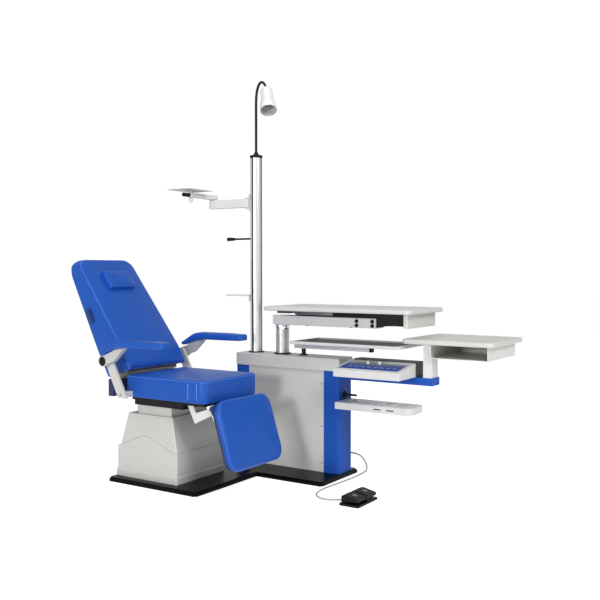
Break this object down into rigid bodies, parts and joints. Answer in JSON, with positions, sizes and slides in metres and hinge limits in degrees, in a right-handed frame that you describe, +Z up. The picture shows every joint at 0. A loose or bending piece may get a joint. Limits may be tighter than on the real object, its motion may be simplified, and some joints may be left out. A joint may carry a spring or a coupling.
{
  "type": "ophthalmic refraction unit",
  "caption": "Ophthalmic examination unit with a reclining lift chair, an instrument column with lamp and projector arm, swinging tables, a tray, a control panel and a foot switch.",
  "frame": {"origin": "on the floor, under the middle of the chair pedestal", "axes": "+Z up, +X the way the patient faces, +Y from the chair to the instrument column"},
  "size_m": [2.38, 1.37, 2.3942],
  "materials": {
    "base_gloss": "glossy black enamel",
    "grey_enamel": "light grey satin enamel",
    "black_metal": "black enamel",
    "black_frame": null,
    "blue_enamel": "blue satin enamel",
    "polished_aluminium": "bright anodised",
    "satin_aluminium": "satin anodised",
    "black_plastic": "moulded",
    "black_rubber": "ribbed sleeve",
    "light_enamel": "pale grey enamel",
    "light_plastic": "moulded, pale grey",
    "dark_plastic": "moulded, dark grey",
    "white_plastic": "moulded, white",
    "grey_trim": "satin grey trim",
    "navy_board": "navy covered board",
    "blue_vinyl": "glossy blue synthetic leather over foam",
    "light_laminate": "laminated board with a soft edge",
    "white_enamel": "white satin enamel",
    "cable_jacket": "smooth grey jacket",
    "bulb_glass": "frosted"
  },
  "bodies": {
    "stand": {"base_plate": "base_gloss", "pedestal_lower_cover": "grey_enamel", "pedestal_upper_cover": "grey_enamel", "lift_outer_mast": "black_metal", "cabinet_left_column": "blue_enamel", "cabinet_right_column": "blue_enamel", "cabinet_front_panel": "grey_enamel", "cabinet_rear_panel": "grey_enamel", "cabinet_cap": "grey_enamel", "instrument_column": "polished_aluminium", "column_top_cap": "black_plastic", "table_lift_guide": "black_metal", "tray_post": "black_metal", "projector_bracket": "light_enamel", "column_holder": "light_enamel", "side_arm": "blue_enamel", "panel_housing": "light_plastic", "panel_rear_housing": "dark_plastic", "accessory_shelf": "light_plastic", "cable_hook": "black_plastic", "cable_gland": "black_plastic", "foot_cable": "cable_jacket", "foot_switch_base": "black_plastic"},
    "foot_pedal_near_body": {"foot_pedal_near": "black_plastic"},
    "foot_pedal_far_body": {"foot_pedal_far": "black_plastic"},
    "panel_knob_left_body": {"panel_knob_left": "white_plastic"},
    "panel_knob_right_body": {"panel_knob_right": "white_plastic"},
    "lever": {"column_lever": "black_plastic"},
    "chair_lift_body": {"lift_inner_mast": "black_metal", "lift_sleeve_cover": "grey_enamel"},
    "seat": {"seat_frame": "black_frame", "seat_cushion": "blue_vinyl", "armrest_upright_near": "grey_enamel", "armrest_upright_far": "grey_enamel"},
    "backrest": {"backrest_frame": "grey_trim", "backrest_cushion": "blue_vinyl", "head_pillow": "blue_vinyl"},
    "armrest_near": {"armrest_bracket_near": "grey_trim", "armrest_pad_near": "blue_vinyl"},
    "armrest_far": {"armrest_bracket_far": "grey_trim", "armrest_pad_far": "blue_vinyl"},
    "legrest": {"legrest_board": "navy_board", "legrest_cushion": "blue_vinyl"},
    "table_lift_body": {"table_lift_tube": "satin_aluminium"},
    "table_arm_body": {"table_arm": "light_enamel"},
    "table": {"table_slide_beam": "black_frame", "table_top": "light_laminate", "table_apron": "light_laminate"},
    "tray_arm": {"tray_bar": "satin_aluminium"},
    "tray": {"tray_table": "light_plastic"},
    "right_table": {"right_table_post": "light_enamel", "right_table_top": "light_laminate", "right_table_box": "light_enamel"},
    "projector_low": {"projector_arm_lower": "light_enamel"},
    "projector_high": {"projector_arm_upper": "light_enamel"},
    "projector_shelf": {"projector_plate": "grey_enamel"},
    "projector_lock": {"projector_knob": "black_plastic"},
    "lamp": {"gooseneck": "black_rubber", "lamp_shade": "white_enamel", "lamp_bulb": "bulb_glass"}
  },
  "joints": [
    {"name": "chair_lift", "type": "slide", "parent": "stand", "child": "chair_lift_body", "axis": [0, 0, 1], "range_m": [0, 0.18]},
    {"name": "chair_swivel", "type": "hinge", "parent": "chair_lift_body", "child": "seat", "pos_m": [0.0275, 0, 0.45], "axis": [0, 0, 1], "range_deg": [-45, 10]},
    {"name": "backrest_recline", "type": "hinge", "parent": "seat", "child": "backrest", "pos_m": [-0.17, 0, 0.594], "axis": [0, -1, 0], "range_deg": [-6, 35]},
    {"name": "armrest_fold_near", "type": "hinge", "parent": "seat", "child": "armrest_near", "pos_m": [-0.18, -0.345, 0.71], "axis": [0, -1, 0], "range_deg": [0, 100]},
    {"name": "armrest_fold_far", "type": "hinge", "parent": "seat", "child": "armrest_far", "pos_m": [-0.18, 0.345, 0.71], "axis": [0, -1, 0], "range_deg": [0, 100]},
    {"name": "legrest_lift", "type": "hinge", "parent": "seat", "child": "legrest", "pos_m": [0.483, 0, 0.478], "axis": [0, -1, 0], "range_deg": [0, 60]},
    {"name": "table_lift", "type": "slide", "parent": "stand", "child": "table_lift_body", "axis": [0, 0, 1], "range_m": [0, 0.2]},
    {"name": "table_swing", "type": "hinge", "parent": "table_lift_body", "child": "table_arm_body", "pos_m": [0.3985, 0.59, 0.889], "axis": [0, 0, 1], "range_deg": [-70, 70]},
    {"name": "table_slide", "type": "slide", "parent": "table_arm_body", "child": "table", "axis": [1, 0, 0], "range_m": [-0.03, 0.15]},
    {"name": "tray_swing", "type": "hinge", "parent": "stand", "child": "tray_arm", "pos_m": [0.555, 0.59, 0.747], "axis": [0, 0, 1], "range_deg": [-60, 60]},
    {"name": "tray_slide", "type": "slide", "parent": "tray_arm", "child": "tray", "axis": [1, 0, 0], "range_m": [0, 0.08]},
    {"name": "right_table_swing", "type": "hinge", "parent": "stand", "child": "right_table", "pos_m": [1.397, 0.5825, 0.6273], "axis": [0, 0, 1], "range_deg": [-90, 20]},
    {"name": "projector_hinge_low", "type": "hinge", "parent": "stand", "child": "projector_low", "pos_m": [0.13, 0.59, 1.62], "axis": [0, 0, 1], "range_deg": [-75, 75]},
    {"name": "projector_hinge_high", "type": "hinge", "parent": "projector_low", "child": "projector_high", "pos_m": [-0.145, 0.59, 1.675], "axis": [0, 0, 1], "range_deg": [-120, 25]},
    {"name": "projector_plate_swivel", "type": "hinge", "parent": "projector_high", "child": "projector_shelf", "pos_m": [-0.145, 0.362, 1.708], "axis": [0, 0, 1], "range_deg": [-90, 90]},
    {"name": "projector_knob_turn", "type": "hinge", "parent": "projector_high", "child": "projector_lock", "pos_m": [-0.145, 0.3477, 1.694], "axis": [0, -1, 0], "range_deg": [-180, 180]},
    {"name": "lever_turn", "type": "hinge", "parent": "stand", "child": "lever", "pos_m": [0.1597, 0.59, 1.4215], "axis": [-1, 0, 0], "range_deg": [-90, 90]},
    {"name": "lamp_swivel", "type": "hinge", "parent": "stand", "child": "lamp", "pos_m": [0.1985, 0.59, 1.9663], "axis": [0, 0, 1], "range_deg": [-150, 150]},
    {"name": "panel_knob_turn_left", "type": "hinge", "parent": "stand", "child": "panel_knob_left_body", "pos_m": [1.063, 0.474, 0.6957], "axis": [0, -0.1572, 0.9876], "range_deg": [-140, 140]},
    {"name": "panel_knob_turn_right", "type": "hinge", "parent": "stand", "child": "panel_knob_right_body", "pos_m": [1.137, 0.474, 0.6957], "axis": [0, -0.1572, 0.9876], "range_deg": [-140, 140]},
    {"name": "pedal_press_near", "type": "hinge", "parent": "stand", "child": "foot_pedal_near_body", "pos_m": [1.145, 0.087, 0.02], "axis": [0, 1, 0], "range_deg": [0, 5], "stiffness_Nm_per_rad": 4, "springref_deg": -11.46},
    {"name": "pedal_press_far", "type": "hinge", "parent": "stand", "child": "foot_pedal_far_body", "pos_m": [1.145, 0.197, 0.02], "axis": [0, 1, 0], "range_deg": [0, 5], "stiffness_Nm_per_rad": 4, "springref_deg": -11.46}
  ]
}
